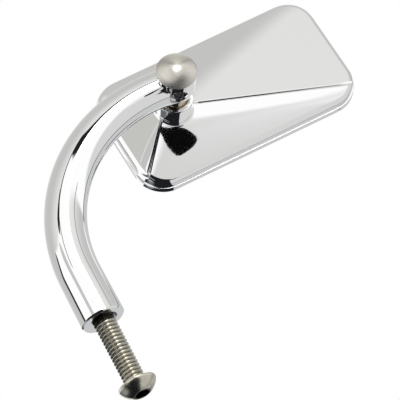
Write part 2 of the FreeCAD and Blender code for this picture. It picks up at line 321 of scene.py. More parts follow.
def close_ring(bm, ring, centre):
    """Closes a ring with a fan of triangles to one point."""
    last = bmesh.ops.extrude_edge_only(bm, edges=ring)["geom"]
    verts = [item for item in last if isinstance(item, bmesh.types.BMVert)]
    bmesh.ops.pointmerge(bm, verts=verts, merge_co=centre)


def pull_rings(count, places, close_start=None, close_end=None):
    """Builds a skin through a list of ring places; open ends can be closed to a point."""
    bm, ring, layer = first_ring(count)
    place_ring(ring, layer, places[0])
    first = ring
    for place in places[1:]:
        ring = next_ring(bm, ring, layer, place)
    if close_end is not None:
        close_ring(bm, ring, close_end)
    if close_start is not None:
        close_ring(bm, first, close_start)
    return bm


quarter = math.pi / 2


def quarter_turn(steps):
    """Steps along a quarter round, each as what its cosine and its sine lack to one."""
    angles = [quarter * step / steps for step in range(steps + 1)]
    return [(1 - math.cos(angle), 1 - math.sin(angle)) for angle in angles]


# %% [markdown]
# ## Stem: the tapered bar
# The stem is a turned taper bar that was bent hot and then plated. A circle travels up the foot,
# round the bend and on into the eye, getting smaller as it goes. The foot's chamfer, the mouth of
# the tapped hole and the hole itself are more rings of the same skin.

# %% Stem sizes and the bar's path
FOOT_RADIUS = 7.95 * MM
FOOT_CHAMFER = 0.5 * MM
FOOT_STRAIGHT = 18.3 * MM
BEND_RADIUS = 55.7 * MM
NECK_RADIUS = 6.6 * MM
SWELL_RADIUS = 7.0 * MM
EYE_RADIUS = 7.2 * MM
EYE_RISE = 8.0 * MM
EYE_SEAT = 6.1 * MM
TAP_RADIUS = 4.02 * MM
TAP_DEPTH = 15.7 * MM
FOOT_MOUTH_RADIUS = 5.15 * MM
BEND_LENGTH = BEND_RADIUS * quarter
BAR_RAYS = 128
BEND_RINGS = 96


def bar_place(run):
    """Centre and forward direction of the bar after a length of run along its middle."""
    if run <= FOOT_STRAIGHT:
        return Vector((0, 0, run)), Vector((0, 0, 1))
    turned = min((run - FOOT_STRAIGHT) / BEND_RADIUS, quarter)
    beyond = max(run - FOOT_STRAIGHT - BEND_LENGTH, 0.0)
    forward = Vector((math.sin(turned), 0, math.cos(turned)))
    middle = Vector((BEND_RADIUS - BEND_RADIUS * math.cos(turned), 0, 0))
    middle.z = FOOT_STRAIGHT + BEND_RADIUS * math.sin(turned)
    return middle + forward * beyond, forward


def bar_radius(run):
    """Even taper from the foot to the neck, then a small swell into the eye."""
    to_neck = FOOT_STRAIGHT + BEND_LENGTH
    if run <= to_neck:
        return FOOT_RADIUS + (NECK_RADIUS - FOOT_RADIUS) * run / to_neck
    share = (run - to_neck) / (eye.x - BEND_RADIUS)
    return NECK_RADIUS + (SWELL_RADIUS - NECK_RADIUS) * share


def bar_ring(run, radius=None):
    """Place function for one ring of the bar."""
    middle, forward = bar_place(run)
    side = Vector((0, 1, 0))
    out = side.cross(forward)
    size = bar_radius(run) if radius is None else radius

    def place(ray):
        angle = math.tau * ray / BAR_RAYS
        return middle + (out * math.cos(angle) + side * math.sin(angle)) * size

    return place


# %% Bar skin
bar_places = [
    bar_ring(TAP_DEPTH, TAP_RADIUS),
    bar_ring(FOOT_MOUTH_RADIUS - TAP_RADIUS, TAP_RADIUS),
    bar_ring(0.0, FOOT_MOUTH_RADIUS),
    bar_ring(0.0, FOOT_RADIUS - FOOT_CHAMFER),
    bar_ring(FOOT_CHAMFER),
]
bar_end = FOOT_STRAIGHT + BEND_LENGTH + eye.x - BEND_RADIUS
for step in range(1, BEND_RINGS + 1):
    bar_places.append(bar_ring(FOOT_CHAMFER + (bar_end - FOOT_CHAMFER) * step / BEND_RINGS))
bar_bm = pull_rings(BAR_RAYS, bar_places, Vector((0, 0, TAP_DEPTH)), eye)
print("bar is", round(bar_end / MM, 1), "mm along its middle")

# %% [markdown]
# ## Stem: the eye
# The post goes through an upright barrel at the end of the bar, flat under the domed cap and
# round below. A barrel is a turned shape, so half of its outline is spun about the post. Then the
# two skins are joined, and the holes are cut, with Blender's exact boolean, because the curve
# where a barrel meets a bar is not one that any ring follows.

# %% Lathe and boolean helpers


def lathe(outline, steps, place=to_eye):
    """Spins an outline of (radius, height) pairs, from axis to axis, about the Y axis of a place."""
    bm = bmesh.new()
    verts = [bm.verts.new((radius, height, 0)) for radius, height in outline]
    edges = [bm.edges.new(pair) for pair in zip(verts, verts[1:])]
    bmesh.ops.spin(
        bm, geom=verts + edges, cent=(0, 0, 0), axis=(0, 1, 0), angle=math.tau, steps=steps, use_merge=True
    )
    clean(bm)
    bm.transform(place)
    return bm


def arc(centre, radius, start, stop, steps):
    """Points on an arc from one angle to another, as (radius, height) pairs."""
    points = []
    for step in range(steps + 1):
        angle = start + (stop - start) * step / steps
        points.append((centre[0] + radius * math.cos(angle), centre[1] + radius * math.sin(angle)))
    return points


def boolean(base, steps):
    """Applies boolean steps, (operation, object) pairs, to a base object; returns a new bmesh."""
    for operation, other in steps:
        step = base.modifiers.new(operation, "BOOLEAN")
        step.operation = operation
        step.solver = "EXACT"
        step.object = other
    shown = base.evaluated_get(bpy.context.evaluated_depsgraph_get())
    result = bpy.data.meshes.new_from_object(shown)
    bm = bmesh.new()
    bm.from_mesh(result)
    bpy.data.meshes.remove(result)
    for used in [base] + [other for _, other in steps]:
        bpy.data.objects.remove(used)
    return bm


# %% Barrel, holes and the finished stem
GRUB_RADIUS = 3.175 * MM
GRUB_MOUTH_RADIUS = 3.45 * MM
GRUB_MOUTH_LEAD = 0.3 * MM
GRUB_ANGLE = math.radians(18.0)
GRUB_OFFSET = 2.2 * MM
GRUB_SINK = 1.1 * MM
GRUB_STEPS = 96
SHANK_BORE = 3.235 * MM
BORE_OVERLAP = 0.2 * MM
BORE_STEPS = 64
BARREL_EDGE = 0.25 * MM
BARREL_ARC_STEPS = 32
LATHE_STEPS = 128
grub_out = Vector((-math.sin(GRUB_ANGLE), 0, -math.cos(GRUB_ANGLE)))
grub_turn = grub_out.to_track_quat("Y", "Z").to_matrix().to_4x4()
to_grub = to_eye @ Matrix.Translation(Vector((0, -GRUB_OFFSET, 0))) @ grub_turn

seat_angle = math.asin(EYE_SEAT / EYE_RADIUS)
barrel_outline = [(0, -EYE_RISE), (EYE_RADIUS - BARREL_EDGE, -EYE_RISE)]
barrel_outline += [(EYE_RADIUS, BARREL_EDGE - EYE_RISE)]
barrel_outline += arc((0, 0), EYE_RADIUS, 0.0, seat_angle, BARREL_ARC_STEPS) + [(0, EYE_SEAT)]
bore_outline = [(0, -2 * EYE_RISE), (SHANK_BORE, -2 * EYE_RISE), (SHANK_BORE, EYE_RISE), (0, EYE_RISE)]
grub_floor = SHANK_BORE - BORE_OVERLAP
grub_step = EYE_RADIUS - GRUB_SINK
grub_outline = [(0, grub_floor), (GRUB_RADIUS, grub_floor), (GRUB_RADIUS, grub_step)]
grub_outline += [(GRUB_MOUTH_RADIUS, grub_step + GRUB_MOUTH_LEAD)]
grub_outline += [(GRUB_MOUTH_RADIUS, 2 * EYE_RADIUS), (0, 2 * EYE_RADIUS)]

stem_steps = [
    ("UNION", loose_object(lathe(barrel_outline, LATHE_STEPS), "barrel")),
    ("DIFFERENCE", loose_object(lathe(bore_outline, BORE_STEPS), "bore")),
    ("DIFFERENCE", loose_object(lathe(grub_outline, GRUB_STEPS, to_grub), "grub_hole")),
]
stem_bm = boolean(loose_object(bar_bm, "bar"), stem_steps)
finish_piece(stem_bm, "stem_bar", "stem_body", "stem", stem_chrome)

# %% [markdown]
# ## Housing: the outline and its rays
# The head is a pressed and soldered shell: a rounded rectangle with a four-sided pyramid on its
# back. Its ridges have to be exact mesh lines, or the plate would show a saw edge. So the mesh is
# laid out as rays from the post to the outline, with one ray along each ridge and the others
# crowded close to it.

# %% Housing sizes
HALF_LENGTH = 44.45 * MM
HALF_HEIGHT = 23.85 * MM
CORNER_RADIUS = 11.2 * MM
HEAD_OFFSET = 22.1 * MM
RIM_STEP = 0.55 * MM
BAND_ROUND = 0.4 * MM
BOSS_TOP = ball_drop - 2.8 * MM
APEX_Y = ball_drop + 2.8 * MM
PYRAMID_HEIGHT = 10.3 * MM
RIM_BACK = APEX_Y + PYRAMID_HEIGHT
RIM_FRONT = RIM_BACK + 4.7 * MM
BAND_BACK = RIM_FRONT - 2.4 * MM
RIGHT_RISES = (1.8 * MM, 0.3 * MM)
LEFT_RISES = (1.6 * MM, 0.3 * MM)
LEFT_CREST = 4.3 * MM
EDGE_RIGHT = HEAD_OFFSET + HALF_LENGTH - RIM_STEP
EDGE_LEFT = HEAD_OFFSET - HALF_LENGTH + RIM_STEP
EDGE_TOP = HALF_HEIGHT - RIM_STEP

# %% Where a ray meets the outline


def outline_hit(ray, inset):
    """Distance along a ray to the outline set in by inset, and the outline's outward normal there."""
    half_length = HALF_LENGTH - inset
    half_height = HALF_HEIGHT - inset
    radius = CORNER_RADIUS - inset
    side_x = math.copysign(half_length, ray.x) + HEAD_OFFSET
    side_z = math.copysign(half_height, ray.z)
    reach_x = side_x / ray.x if ray.x else math.inf
    reach_z = side_z / ray.z if ray.z else math.inf
    reach = min(reach_x, reach_z)
    hit = ray * reach
    corner = Vector((HEAD_OFFSET + math.copysign(half_length - radius, hit.x - HEAD_OFFSET), 0, 0))
    corner.z = math.copysign(half_height - radius, hit.z)
    past_x = (hit.x - corner.x) * math.copysign(1, hit.x - HEAD_OFFSET)
    past_z = (hit.z - corner.z) * math.copysign(1, hit.z)
    if past_x > 0 and past_z > 0:
        along = ray.dot(corner)
        reach = along + math.sqrt(along ** 2 - corner.length_squared + radius ** 2)
        return reach, (ray * reach - corner).normalized()
    if reach_x < reach_z:
        return reach, Vector((math.copysign(1, side_x), 0, 0))
    return reach, Vector((0, 0, math.copysign(1, side_z)))


def outline_depth(point, inset):
    """How far a point lies inside the outline set in by inset."""
    radius = CORNER_RADIUS - inset
    past_x = abs(point.x - HEAD_OFFSET) - (HALF_LENGTH - inset - radius)
    past_z = abs(point.z) - (HALF_HEIGHT - inset - radius)
    outside = math.hypot(max(past_x, 0.0), max(past_z, 0.0))
    return radius - outside - min(max(past_x, past_z), 0.0)


# %% [markdown]
# ## Housing: four planes and their ridges
# The back is four sloping planes. The long ones come down to the rim, the two end ones stop a
# little above it, which is why each ridge reaches the outline beside its corner and not at it.
# A ridge is where two planes are equally high, so its two ends are found by halving steps.

# %% Planes and ridges
HALVINGS = 50


def plane_slopes(run, rises):
    """Slopes in x and z of an end plane, from its heights at the low and top ends of its edge."""
    low_z = EDGE_TOP * (rises[0] / PYRAMID_HEIGHT - 1)
    top_z = EDGE_TOP * (1 - rises[1] / PYRAMID_HEIGHT)
    slope_z = (rises[1] - rises[0]) / (top_z - low_z)
    slope_x = (rises[0] - slope_z * low_z - PYRAMID_HEIGHT) / run
    return slope_x, slope_z


right_slopes = plane_slopes(EDGE_RIGHT, RIGHT_RISES)
left_slopes = plane_slopes(EDGE_LEFT + LEFT_CREST, LEFT_RISES)


def right_height(point):
    """Height above the rim of the right end plane."""
    return PYRAMID_HEIGHT + right_slopes[0] * point.x + right_slopes[1] * point.z


def end_height(point):
    """Height above the rim of the lower of the two end planes."""
    left = PYRAMID_HEIGHT + left_slopes[0] * (point.x + LEFT_CREST) + left_slopes[1] * point.z
    return min(right_height(point), left)


def side_height(point):
    """Height above the rim of the lower of the two long planes."""
    return PYRAMID_HEIGHT * (1 - abs(point.z) / EDGE_TOP)


def ridge_point(x, side):
    """Point of a ridge in the plan; side is 1 for an upper ridge and -1 for a lower one."""
    slopes, run = (right_slopes, x) if x > 0 else (left_slopes, min(x + LEFT_CREST, 0.0))
    z = -slopes[0] * run / (side * PYRAMID_HEIGHT / EDGE_TOP + slopes[1])
    return Vector((x, 0, z))


def ridge_angle(past, far_x, side):
    """Angle from the post of the ridge point where past() turns from false to true."""
    near = 0.0
    for _ in range(HALVINGS):
        half = (near + far_x) / 2
        if past(ridge_point(half, side)):
            far_x = half
        else:
            near = half
    point = ridge_point(far_x, side)
    return math.atan2(point.z, point.x) % math.tau


# %% Lines of the housing mesh
BOSS_RADIUS = 6.85 * MM
BOSS_FILLET = 0.9 * MM
BOSS_FOOT = BOSS_RADIUS + BOSS_FILLET
SECTOR_LINES = (48, 80, 64, 80)


def smooth_step(value, low, high):
    """0 below low, 1 above high, and a smooth rise between."""
    share = min(max((value - low) / (high - low), 0.0), 1.0)
    return share * share * (3 - 2 * share)


def at_boss(point):
    """Whether a point is outside the foot of the boss."""
    return point.length > BOSS_FOOT


def at_outline(point):
    """Whether a point is outside the outline of the back."""
    return outline_depth(point, RIM_STEP) < 0


def sector_angles(past):
    """The four ridges' angles, from the lower right one round to it again."""
    low_right = ridge_angle(past, EDGE_RIGHT, -1)
    top_right = ridge_angle(past, EDGE_RIGHT, 1)
    top_left = ridge_angle(past, EDGE_LEFT, 1)
    low_left = ridge_angle(past, EDGE_LEFT, -1)
    return (low_right - math.tau, top_right, top_left, low_left, low_right)


def direction_at(angle):
    """Unit vector in the plan at an angle from the post."""
    return Vector((math.cos(angle), 0, math.sin(angle)))


boss_angles = sector_angles(at_boss)
outline_angles = sector_angles(at_outline)
boss_rays = []
outline_points = []
outline_normals = []
for sector, count in enumerate(SECTOR_LINES):
    for step in range(count):
        share = smooth_step(-math.cos(math.pi * step / count), -1.0, 1.0)
        inner = boss_angles[sector] + (boss_angles[sector + 1] - boss_angles[sector]) * share
        outer = outline_angles[sector] + (outline_angles[sector + 1] - outline_angles[sector]) * share
        reach, normal = outline_hit(direction_at(outer), RIM_STEP)
        boss_rays.append(direction_at(inner))
        outline_points.append(direction_at(outer) * reach)
        outline_normals.append(normal)
HOUSING_LINES = len(boss_rays)
print(HOUSING_LINES, "lines, ridges leave the boss at", [round(math.degrees(a), 1) for a in boss_angles])

# %% [markdown]
# ## Housing: height of the pyramid back
# At any point the back is the lowest of the planes. Pressed metal has no knife edge, so two
# planes are blended over a band at each ridge. The band is narrow at the lower ridges and wide
# at the upper ones, and near the rim it opens out into a soft corner. The lower facet bulges a
# little between its ridges, and a hair-fine step under the right one draws its dark line.
# Then the edge of the back turns over a rounded shoulder into the upright side.

# %% Height of the back
LOW_RIGHT_BLEND = 0.05 * MM
TOP_RIGHT_BLEND = 1.6 * MM
TOP_LEFT_BLEND = 1.2 * MM
LOW_LEFT_BLEND = 0.45 * MM
SOFT_EDGE_BLEND = 1.8 * MM
FIRM_EDGE_BLEND = 0.5 * MM
CORNER_REACH = 5.0 * MM
CORNER_FULL = 1.5 * MM
SHOULDER = 1.7 * MM
ROLL_SHARE = 0.36
ROLL_REACH = 2.2 * MM
LEAST_REACH = 0.05 * MM
CREASE_STEP = 0.25 * MM
CREASE_REACH = 0.45 * MM
CREASE_END = 3.0 * MM


def ridge_blend(point, depth):
    """Width of the band that blends the planes at the ridge nearest to a point."""
    if point.x > 0:
        blend = TOP_RIGHT_BLEND if point.z > 0 else LOW_RIGHT_BLEND
    else:
        blend = TOP_LEFT_BLEND if point.z > 0 else LOW_LEFT_BLEND
    near_corner = 1 - smooth_step(depth, CORNER_FULL, CORNER_REACH)
    corner_blend = SOFT_EDGE_BLEND if point.x > 0 and point.z > 0 else FIRM_EDGE_BLEND
    return blend + max(corner_blend - blend, 0.0) * near_corner


def lower_bulge(point, side, end):
    """How far the lower facet stands out from its plane, less the step under the right ridge."""
    reach = max(ROLL_REACH * (1 - (1 - side / PYRAMID_HEIGHT) ** 2), LEAST_REACH)
    past_ridge = right_height(point) - side
    crease = smooth_step(past_ridge, 0.0, CREASE_REACH)
    crease -= smooth_step(past_ridge, CREASE_REACH, CREASE_END)
    return ROLL_SHARE * reach * (1 - math.exp((side - end) / reach)) - CREASE_STEP * crease


def back_height(point):
    """Y of the outside of the back over a point of the plan."""
    depth = outline_depth(point, RIM_STEP)
    end = end_height(point)
    side = side_height(point)
    blend = ridge_blend(point, depth)
    overlap = max(blend - abs(end - side), 0.0)
    height = min(end, side) - overlap ** 2 / (4 * blend)
    if point.z < 0 and side < end:
        height += lower_bulge(point, side, end)
    short = max(1 - max(depth, 0.0) / SHOULDER, 0.0)
    turn_over = SHOULDER * (1 - math.sqrt(max(1 - short ** 2, 0.0)))
    return RIM_BACK - height + turn_over


# %% [markdown]
# ## Housing: one closed skin
# The skin starts at the foot of the upright side, climbs the shoulder and the facets to the boss,
# goes down through the boss, along the inside of the shell and out over the ledge and the rim band
# to where it began. A skin with no open edge can be plated, printed or weighed.

# %% Rings of the housing
SHELL_WALL = 1.9 * MM
BOSS_ROUND = 0.5 * MM
MOUTH_RADIUS = 5.15 * MM
MOUTH_BREAK = 0.3 * MM
MOUTH_BOW = 0.08 * MM
LIP = 1.0 * MM
BORE_RADIUS = 5.86 * MM
PLUG_FLOOR = ball_drop + 9.85 * MM
TUBE_RADIUS = 7.95 * MM
RIM_WALL = 1.5 * MM
RIM_BREAK = 0.15 * MM
LEDGE_INSET = 3.9 * MM
LEDGE_Y = RIM_FRONT - 3.2 * MM
FACET_EDGE = 6.0 * MM


def rim_point(index, inset):
    """Point of the plan at the end of a mesh line, set in by inset from the rim's outside."""
    return outline_points[index] + outline_normals[index] * (RIM_STEP - inset)


def edge_point(index, depth):
    """Point of the plan on a mesh line, a depth inside the outline of the back."""
    line = (outline_points[index] - boss_rays[index] * BOSS_FOOT).normalized()
    return outline_points[index] - line * (depth / line.dot(outline_normals[index]))


def at_height(point, y):
    """A point of the plan, moved to a height."""
    return Vector((point.x, y, point.z))


def on_back(point, climb=0.0):
    """A point of the plan, moved onto the back or a climb above it."""
    return at_height(point, back_height(point) - climb)


def rim_ring(inset, y):
    """Ring on the outline, set in by inset from the rim's outside."""
    return lambda index: at_height(rim_point(index, inset), y)


def back_ring(depth):
    """Ring on the back, a depth inside its outline."""
    return lambda index: on_back(edge_point(index, depth))


def facet_ring(share):
    """Ring part of the way from the boss to the edge of the facets."""
    return lambda index: on_back((boss_rays[index] * BOSS_FOOT).lerp(edge_point(index, FACET_EDGE), share))


def fillet_ring(out, climb):
    """Ring of the hollow fillet where the boss stands on the facets."""
    return lambda index: on_back(boss_rays[index] * (BOSS_RADIUS + out), climb)


def round_ring(radius, y):
    """Plain round ring about the post."""
    return lambda index: at_height(boss_rays[index] * radius, y)


def inside_ring(share):
    """Ring on the inside of the shell, from the boss tube to the ledge."""
    def place(index):
        point = (boss_rays[index] * TUBE_RADIUS).lerp(rim_point(index, LEDGE_INSET), share)
        y = RIM_BACK + SHELL_WALL - min(end_height(point), side_height(point))
        return at_height(point, min(y, LEDGE_Y))
    return place


# %% Housing skin
SHOULDER_RINGS = 10
EDGE_DEPTHS = (2.1 * MM, 2.6 * MM, 3.2 * MM, 3.9 * MM, 4.8 * MM)
FACET_RINGS = 28
FILLET_RINGS = 8
ROUND_RINGS = 6
INSIDE_RINGS = 10
small_round = quarter_turn(ROUND_RINGS)
housing_places = [rim_ring(RIM_STEP, BAND_BACK)]
housing_places += [back_ring(SHOULDER * less_cos) for less_cos, _ in quarter_turn(SHOULDER_RINGS)]
housing_places += [back_ring(depth) for depth in EDGE_DEPTHS]
housing_places += [facet_ring(step / FACET_RINGS) for step in range(FACET_RINGS, -1, -1)]
for less_cos, less_sin in quarter_turn(FILLET_RINGS)[1:]:
    housing_places.append(fillet_ring(BOSS_FILLET * less_sin, BOSS_FILLET * less_cos))
for less_cos, less_sin in small_round:
    housing_places.append(round_ring(BOSS_RADIUS - BOSS_ROUND * less_cos, BOSS_TOP + BOSS_ROUND * less_sin))
housing_places += [
    round_ring(MOUTH_RADIUS + MOUTH_BREAK, BOSS_TOP),
    round_ring(MOUTH_RADIUS + MOUTH_BOW, BOSS_TOP + MOUTH_BOW),
    round_ring(MOUTH_RADIUS, BOSS_TOP + MOUTH_BREAK),
    round_ring(MOUTH_RADIUS, BOSS_TOP + LIP),
    round_ring(BORE_RADIUS, BOSS_TOP + LIP),
    round_ring(BORE_RADIUS, PLUG_FLOOR),
    round_ring(TUBE_RADIUS, PLUG_FLOOR),
]
housing_places += [inside_ring(step / INSIDE_RINGS) for step in range(INSIDE_RINGS + 1)]
housing_places += [
    rim_ring(LEDGE_INSET, LEDGE_Y),
    rim_ring(RIM_WALL, LEDGE_Y),
    rim_ring(RIM_WALL, RIM_FRONT - RIM_BREAK),
    rim_ring(RIM_WALL - RIM_BREAK, RIM_FRONT),
]
for less_cos, less_sin in small_round:
    housing_places.append(rim_ring(BAND_ROUND * less_sin, RIM_FRONT - BAND_ROUND * less_cos))
for less_cos, less_sin in small_round:
    housing_places.append(rim_ring(BAND_ROUND * less_cos, BAND_BACK + BAND_ROUND * less_sin))
housing_places.append(housing_places[0])
housing_bm = pull_rings(HOUSING_LINES, housing_places)
housing_bm.transform(to_head)
finish_piece(housing_bm, "housing_shell", "head", "mirror_housing", housing_chrome, 40.0)

# %% [markdown]
# ## Turned stainless steel
# The domed cap and the ball are turned from stainless bar. Turning leaves fine rings, and rings
# spread a highlight across themselves, which is why the cap shows bright and dark rays that meet
# at its middle. An anisotropic shader with a tangent that circles the axis does the same, and on
# the cap the rays are also a painted reflection: a ramp of bright and dark over the angle about
# the post multiplies its colour.

# %% Turned stainless
DOME_TINT = (0.98, 0.94, 0.86)
BALL_TINT = (0.62, 0.55, 0.45)
# Levels of the painted reflection on the cap, by angle about the post in degrees.
PAINTED_RAYS = (
    (-180, 1.0), (-160, 1.0), (-123, 1.0), (-100, 0.75), (-82, 0.75), (-62, 0.9), (-25, 1.0),
    (0, 0.9), (15, 0.6), (28, 0.85), (60, 1.0), (95, 0.95), (118, 0.6), (135, 0.6), (155, 0.95), (180, 1.0),
)


def turned_stainless(name, tint, roughness, anisotropy):
    """Stainless steel with turning rings about the post's direction."""
    metal = {"Metallic": 1.0, "Base Color": tint, "Anisotropic": anisotropy}
    material = grained(name, metal, roughness, scale=2500.0)
    tangent = add_node(material.node_tree, "ShaderNodeTangent", direction_type="RADIAL", axis="Y")
    set_shader(material, {"Tangent": tangent.outputs["Tangent"]})
    return material


def paint_ray_reflection(material, tint, centre):
    """Painted reflection: bright and dark rays about the post, multiplied into the colour."""
    tree = material.node_tree
    off = vector_node(tree, "SUBTRACT", object_place(tree), centre).outputs["Vector"]
    split = add_node(tree, "ShaderNodeSeparateXYZ", {"Vector": off}).outputs
    turn = math_node(tree, "ARCTAN2", split["Z"], split["X"])
    turn_share = math_node(tree, "MULTIPLY_ADD", turn, 1 / math.tau, 0.5)
    stops = [((degrees + 180) / 360, (level, level, level)) for degrees, level in PAINTED_RAYS]
    rays = colour_ramp(tree, turn_share, stops, "B_SPLINE")
    set_shader(material, {"Base Color": mix_colours(tree, 1.0, tint, rays, "MULTIPLY")})


dome_stainless = turned_stainless("dome_stainless", DOME_TINT, (0.34, 0.42), 0.9)
# The cap's bright and dark rays are painted into its colour.
paint_ray_reflection(dome_stainless, DOME_TINT, eye)
ball_stainless = turned_stainless("ball_stainless", BALL_TINT, (0.1, 0.16), 0.5)

# %% [markdown]
# ## Domed cap and ball stud
# Both are lathe work, so both are outlines spun about the post. The cap is a shallow spherical
# crown on a narrow land. The stud is a shank, a thicker neck and the ball that the head turns on.

# %% Domed cap
DOME_RADIUS = 7.3 * MM
DOME_HEIGHT = 3.75 * MM
DOME_LAND = 0.3 * MM
DOME_BREAK = 0.06 * MM
CROWN_STEPS = 48
FACE_GAP = 0.05 * MM
SHANK_HOLE = 3.225 * MM
SHANK_IN_CAP = 2.4 * MM
dome_base = -EYE_RISE - FACE_GAP
shank_end = dome_base - SHANK_IN_CAP
crown_base = dome_base - DOME_LAND
crown_radius = (DOME_RADIUS ** 2 + DOME_HEIGHT ** 2) / (2 * DOME_HEIGHT)
crown_centre = (0.0, crown_base - DOME_HEIGHT + crown_radius)
crown_edge = -quarter + math.asin(DOME_RADIUS / crown_radius)
dome_outline = arc(crown_centre, crown_radius, -quarter, crown_edge, CROWN_STEPS)
dome_outline += [(DOME_RADIUS, dome_base - DOME_BREAK), (DOME_RADIUS - DOME_BREAK, dome_base)]
dome_outline += [(SHANK_HOLE, dome_base), (SHANK_HOLE, shank_end), (0, shank_end)]
dome_bm = lathe(dome_outline, LATHE_STEPS)
finish_piece(dome_bm, "dome_cap_turned", "post", "dome_cap", dome_stainless)

# %% Ball stud
BALL_RADIUS = 5.15 * MM
BALL_STEPS = 48
STUD_NECK = 3.75 * MM
NECK_BREAK = 0.2 * MM
SHANK_RADIUS = 3.175 * MM
neck_top = EYE_SEAT + FACE_GAP
neck_angle = -quarter + math.asin(STUD_NECK / BALL_RADIUS)
stud_outline = [(0, shank_end), (SHANK_RADIUS, shank_end), (SHANK_RADIUS, neck_top)]
stud_outline += [(STUD_NECK - NECK_BREAK, neck_top), (STUD_NECK, neck_top + NECK_BREAK)]
stud_outline += arc((0, ball_drop), BALL_RADIUS, neck_angle, quarter, BALL_STEPS)
stud_bm = lathe(stud_outline, LATHE_STEPS)
finish_piece(stud_bm, "ball_stud_turned", "post", "ball_stud", ball_stainless)

# %% [markdown]
# ## Satin stainless screw
# The mounting screw is cold-headed and thread-rolled, so it is satin rather than bright, with a
# slight warm cast. Painted shade darkens the roots of the thread, the socket and the part near
# the stem's mouth.

# %% Satin stainless
# Tint of the painted shade in the thread's roots, the socket and near the stem's mouth.
PAINTED_SHADE = (0.03, 0.028, 0.022)
ROOT_SHADE = 2.9 * MM
CREST_LIGHT = 3.75 * MM
MOUTH_SHADE = 0.8 * MM
MOUTH_LIGHT = 2.6 * MM


def satin_stainless(name, light, dark, roughness):
    """Rolled stainless steel, a little uneven in colour and gloss."""
    material = grained(name, {"Metallic": 1.0}, roughness, scale=3000.0, bump=(0.15, 0.05 * MM))
    tree = material.node_tree
    blotches = ramp_value(tree, object_noise(tree, scale=700.0, detail=4.0), 0.0, 1.6)
    set_shader(material, {"Base Color": mix_colours(tree, blotches, dark, light)})
    return material


def paint_recess_shade(material):
    """Painted shade in the thread's roots and the socket, and near the mouth of the stem."""
    tree = material.node_tree
    bare = tree.nodes["Principled BSDF"].inputs["Base Color"].links[0].from_socket
    x, y, z = add_node(tree, "ShaderNodeSeparateXYZ", {"Vector": object_place(tree)}).outputs
    squares = math_node(tree, "MULTIPLY_ADD", y, y, math_node(tree, "MULTIPLY", x, x))
    crest = smooth_rise(tree, math_node(tree, "SQRT", squares), ROOT_SHADE, CREST_LIGHT)
    below_mouth = smooth_rise(tree, math_node(tree, "MULTIPLY", z, -1.0), MOUTH_SHADE, MOUTH_LIGHT)
    light = math_node(tree, "MULTIPLY", crest, below_mouth)
    set_shader(material, {"Base Color": mix_colours(tree, light, PAINTED_SHADE, bare)})


screw_satin = satin_stainless("screw_satin", (0.74, 0.71, 0.61), (0.52, 0.49, 0.4), (0.18, 0.32))
# The screw's roots, socket and the part near the stem's mouth get painted shade.
paint_recess_shade(screw_satin)
grub_dark = satin_stainless("grub_dark", (0.5, 0.5, 0.5), (0.3, 0.3, 0.3), (0.2, 0.35))

# %% [markdown]
# ## Mounting screw: thread and button head
# A thread is one tooth carried round and up at the same time. The spin operator can do that: it
# turns the tooth's outline and shifts it by a little each step, so that one turn climbs by one
# pitch and the turns weld together. The button head is a crown with a hexagon socket, made from
# rings whose last ones are hexagons.

# %% Thread
THREAD_MAJOR = 3.93 * MM
THREAD_MINOR = 3.15 * MM
THREAD_PITCH = 1.411 * MM
THREAD_STEPS = 60
THREAD_MERGE = 0.002 * MM
CUT_SLACK = 0.0001 * MM
SCREW_TOP = 11.7 * MM
UNDER_HEAD = -26.4 * MM
THREAD_START = UNDER_HEAD + 1.2 * MM
TOOTH = (
    (0.0, 0.0), (0.2, 0.0), (0.245, 0.05), (0.52, 0.95), (0.55, 1.0), (0.66, 1.0), (0.69, 0.95),
    (0.955, 0.05), (1.0, 0.0),
)


def thread_bm():
    """A rolled thread as an open helical skin, cut square at both ends."""
    bm = bmesh.new()
    low = THREAD_START - 2 * THREAD_PITCH
    verts = []
    for up, out in TOOTH:
        radius = THREAD_MINOR + (THREAD_MAJOR - THREAD_MINOR) * out
        verts.append(bm.verts.new((radius, 0, low + up * THREAD_PITCH)))
    edges = [bm.edges.new(pair) for pair in zip(verts, verts[1:])]
    turns = math.ceil((SCREW_TOP - low) / THREAD_PITCH) + 1
    bmesh.ops.spin(
        bm, geom=verts + edges, cent=(0, 0, 0), axis=(0, 0, 1), angle=math.tau * turns,
        steps=THREAD_STEPS * turns, dvec=(0, 0, THREAD_PITCH / THREAD_STEPS),
    )
    bmesh.ops.remove_doubles(bm, verts=bm.verts, dist=THREAD_MERGE)
    for height, side in ((THREAD_START, -1), (SCREW_TOP, 1)):
        everything = bm.verts[:] + bm.edges[:] + bm.faces[:]
        bmesh.ops.bisect_plane(
            bm, geom=everything, plane_co=(0, 0, height), plane_no=(0, 0, side), clear_outer=True,
            dist=CUT_SLACK,
        )
    return bm


screw_bm = thread_bm()
print("thread skin has", len(screw_bm.faces), "faces")

# %% Button head
HEAD_RADIUS = 6.95 * MM
HEAD_HEIGHT = 4.2 * MM
HEAD_EDGE = 0.5 * MM
HEAD_BREAK = 0.15 * MM
HEAD_BOW = 0.04 * MM
HEAD_FLAT = 3.3 * MM
EDGE_LAND = 0.1 * MM
FLAT_RING = 3.0 * MM
SOCKET_APOTHEM = 2.38 * MM
SOCKET_MOUTH = SOCKET_APOTHEM * 1.19
SOCKET_DEPTH = 2.6 * MM
SOCKET_CONE = 0.6 * MM
NECK_STEP = 0.25 * MM
NECK_FLARE = 0.8 * MM
HEXAGON = 6
HEAD_RAYS = 96
HEAD_RINGS = 20
spread = HEAD_RADIUS ** 2 + HEAD_EDGE ** 2 - HEAD_FLAT ** 2 - HEAD_HEIGHT ** 2
head_centre = spread / (2 * (HEAD_EDGE - HEAD_HEIGHT))
head_crown = math.hypot(HEAD_RADIUS, HEAD_EDGE - head_centre)


